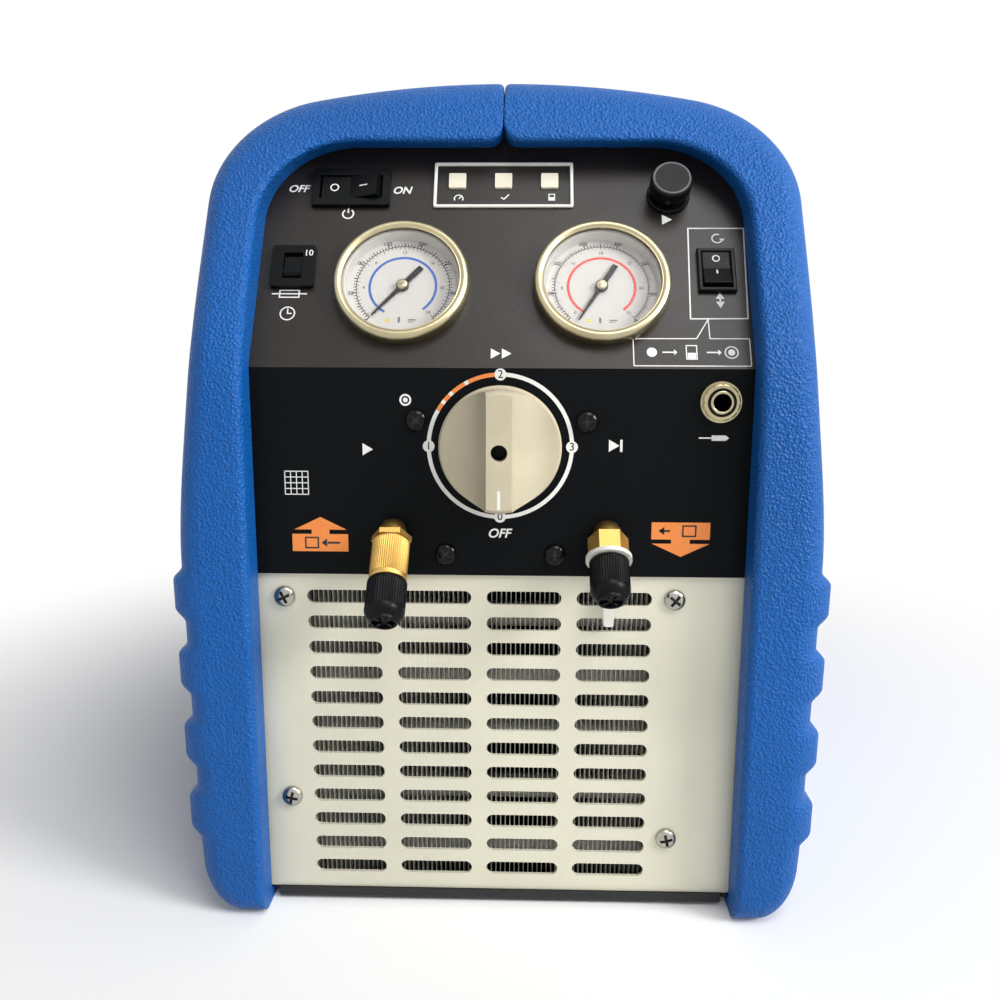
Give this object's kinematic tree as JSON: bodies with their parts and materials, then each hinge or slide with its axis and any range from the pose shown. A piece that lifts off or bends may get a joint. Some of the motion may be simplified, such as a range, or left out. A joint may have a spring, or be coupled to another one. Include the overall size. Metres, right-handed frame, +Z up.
{
  "type": "refrigerant recovery machine",
  "caption": "Portable refrigerant recovery machine in a ribbed moulded case with a carrying handle, leaning gauge panel, selector valve, capped flare ports and a slotted condenser grille.",
  "frame": {"origin": "on the floor under the middle of the whole object, ports included", "axes": "+Z up, the control panel faces -Y, +X to the right of someone who faces the panel"},
  "size_m": [0.2484, 0.4208, 0.35],
  "materials": {
    "blue_shell": "leather grain",
    "black_panel": "satin powder coat",
    "silver_panel": "satin",
    "black_plastic": "matte",
    "black_screws": "black zinc",
    "steel": "plain",
    "beige_plastic": "satin",
    "white_plastic": "satin",
    "pointer": "matte",
    "bezel": "dull plated",
    "lens": "clear",
    "brass": "machined",
    "copper": "drawn tube",
    "aluminium": "mill",
    "motor_paint": "satin",
    "rubber": "matte",
    "board": "solder mask"
  },
  "bodies": {
    "case": {"left_shell": "blue_shell", "right_shell": "blue_shell", "control_panel": "black_panel", "grille_panel": "silver_panel", "base_pan": "black_panel", "rear_panel": "black_panel", "grille_screws": "steel", "valve_screws": "black_screws", "rear_screws": "black_screws", "handle_bar": "blue_shell", "valve_block": "aluminium", "power_switch": "black_plastic", "bypass_switch": "black_plastic", "breaker_frame": "black_plastic", "start_collar": "black_plastic", "indicator_frame": "white_plastic", "indicator_lights": "beige_plastic", "circuit_board": "board", "jack_socket": "black_plastic", "jack_nut": "bezel", "suction_gauge": "bezel", "suction_dial": "white_plastic", "suction_lens": "lens", "discharge_gauge": "bezel", "discharge_dial": "white_plastic", "discharge_lens": "lens", "gauge_stems": "brass", "input_port": "brass", "output_port": "brass", "cap_strap": "white_plastic", "condenser_fins": "aluminium", "condenser_tubes": "copper", "condenser_brackets": "steel", "fan_shroud": "black_panel", "motor": "motor_paint", "compressor": "aluminium", "cylinder_head": "aluminium", "drive_plate": "black_panel", "rubber_mounts": "rubber", "run_capacitor": "aluminium", "suction_line": "copper", "discharge_line": "copper", "liquid_line": "copper", "gauge_lines": "copper", "power_inlet": "black_plastic"},
    "selector": {"selector_knob": "beige_plastic", "valve_stem": "steel"},
    "power": {"power_rocker": "black_plastic"},
    "bypass": {"bypass_rocker": "black_plastic"},
    "breaker": {"breaker_rocker": "black_plastic"},
    "start": {"start_button": "black_plastic"},
    "suction_needle": {"suction_pointer": "pointer"},
    "discharge_needle": {"discharge_pointer": "pointer"},
    "fan_rotor": {"fan": "black_plastic", "motor_shaft": "steel"},
    "filter": {"input_filter": "brass", "filter_screen": "steel"},
    "input_cover": {"input_cap": "black_plastic"},
    "output_cover": {"output_cap": "black_plastic"}
  },
  "joints": [
    {"name": "selector_turn", "type": "hinge", "parent": "case", "child": "selector", "pos_m": [0, -0.1755, 0.188], "axis": [0, 1, 0], "range_deg": [0, 270]},
    {"name": "power_rock", "type": "hinge", "parent": "case", "child": "power", "pos_m": [-0.06, -0.13447, 0.28407], "axis": [0, 0.5, 0.866], "range_deg": [0, 16]},
    {"name": "bypass_rock", "type": "hinge", "parent": "case", "child": "bypass", "pos_m": [0.0812, -0.15312, 0.25177], "axis": [1, 0, 0], "range_deg": [0, 16]},
    {"name": "breaker_rock", "type": "hinge", "parent": "case", "child": "breaker", "pos_m": [-0.08, -0.15257, 0.25272], "axis": [1, 0, 0], "range_deg": [0, 16]},
    {"name": "start_press", "type": "slide", "parent": "case", "child": "start", "axis": [0, 0.866, -0.5], "range_m": [0, 0.003], "stiffness_N_per_m": 300},
    {"name": "suction_sweep", "type": "hinge", "parent": "case", "child": "suction_needle", "pos_m": [-0.0378, -0.158, 0.24731], "axis": [0, 0.866, -0.5], "range_deg": [0, 270]},
    {"name": "discharge_sweep", "type": "hinge", "parent": "case", "child": "discharge_needle", "pos_m": [0.0378, -0.158, 0.24731], "axis": [0, 0.866, -0.5], "range_deg": [0, 270]},
    {"name": "fan_spin", "type": "hinge", "parent": "case", "child": "fan_rotor", "pos_m": [0, -0.1255, 0.07], "axis": [0, 1, 0], "continuous": true},
    {"name": "filter_unscrew", "type": "slide", "parent": "case", "child": "filter", "axis": [0, -0.7071, -0.7071], "range_m": [0, 0.014]},
    {"name": "input_cap_unscrew", "type": "slide", "parent": "filter", "child": "input_cover", "axis": [0, -0.7071, -0.7071], "range_m": [0, 0.02]},
    {"name": "output_cap_unscrew", "type": "slide", "parent": "case", "child": "output_cover", "axis": [0, -0.7071, -0.7071], "range_m": [0, 0.02]}
  ]
}
